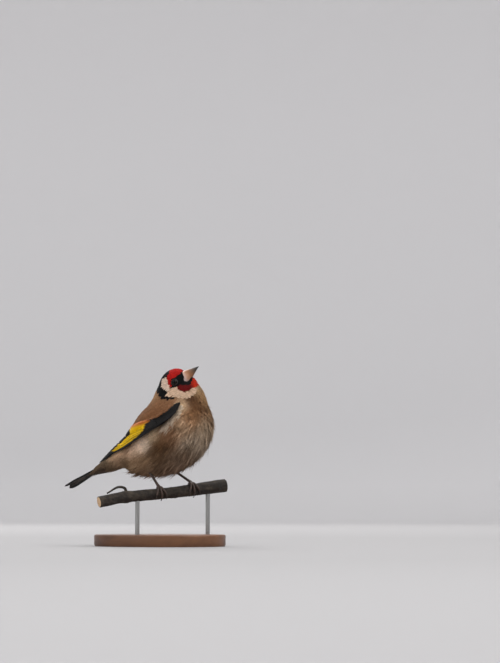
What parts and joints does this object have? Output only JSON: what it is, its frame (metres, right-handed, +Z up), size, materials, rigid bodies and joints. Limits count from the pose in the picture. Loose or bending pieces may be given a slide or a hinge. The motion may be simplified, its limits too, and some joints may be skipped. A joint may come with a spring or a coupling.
{
  "type": "european goldfinch model",
  "caption": "Life-size model of a perched European goldfinch looking up, gripping a short cut branch on a low oval stand.",
  "frame": {"origin": "on the floor, at the centre of the stand base's underside", "axes": "+X the way the bird's body faces, +Y its left side, +Z up"},
  "size_m": [0.1144, 0.0729, 0.1222],
  "materials": {
    "plumage_brown": "soft brown body feathers of the head and neck",
    "plumage_buff": "soft buff and grey-brown body feathers",
    "flight_feathers": "black flight and tail feathers with a yellow wing bar",
    "horn": "pale pinkish horn, dark at the tip",
    "eye": "glossy dark brown",
    "leg": "dull brown scaled skin and claws",
    "bark": "dark grey-brown bark, pale cut ends",
    "base_wood": "satin oiled wood",
    "steel": "satin"
  },
  "bodies": {
    "root": {"head": "plumage_brown", "bill_upper": "horn", "bill_lower": "horn", "eye_right": "eye", "eye_left": "eye", "neck": "plumage_brown", "torso": "plumage_buff", "rump": "plumage_buff", "tail": "flight_feathers", "wing_right": "flight_feathers", "wing_left": "flight_feathers", "leg_right": "leg", "foot_right": "leg", "claw_right_1": "leg", "claw_right_2": "leg", "claw_right_3": "leg", "claw_right_4": "leg", "leg_left": "leg", "foot_left": "leg", "claw_left_1": "leg", "claw_left_2": "leg", "claw_left_3": "leg", "claw_left_4": "leg", "perch": "bark", "stand_base": "base_wood", "stand_rod_back": "steel", "stand_rod_front": "steel"}
  },
  "joints": []
}
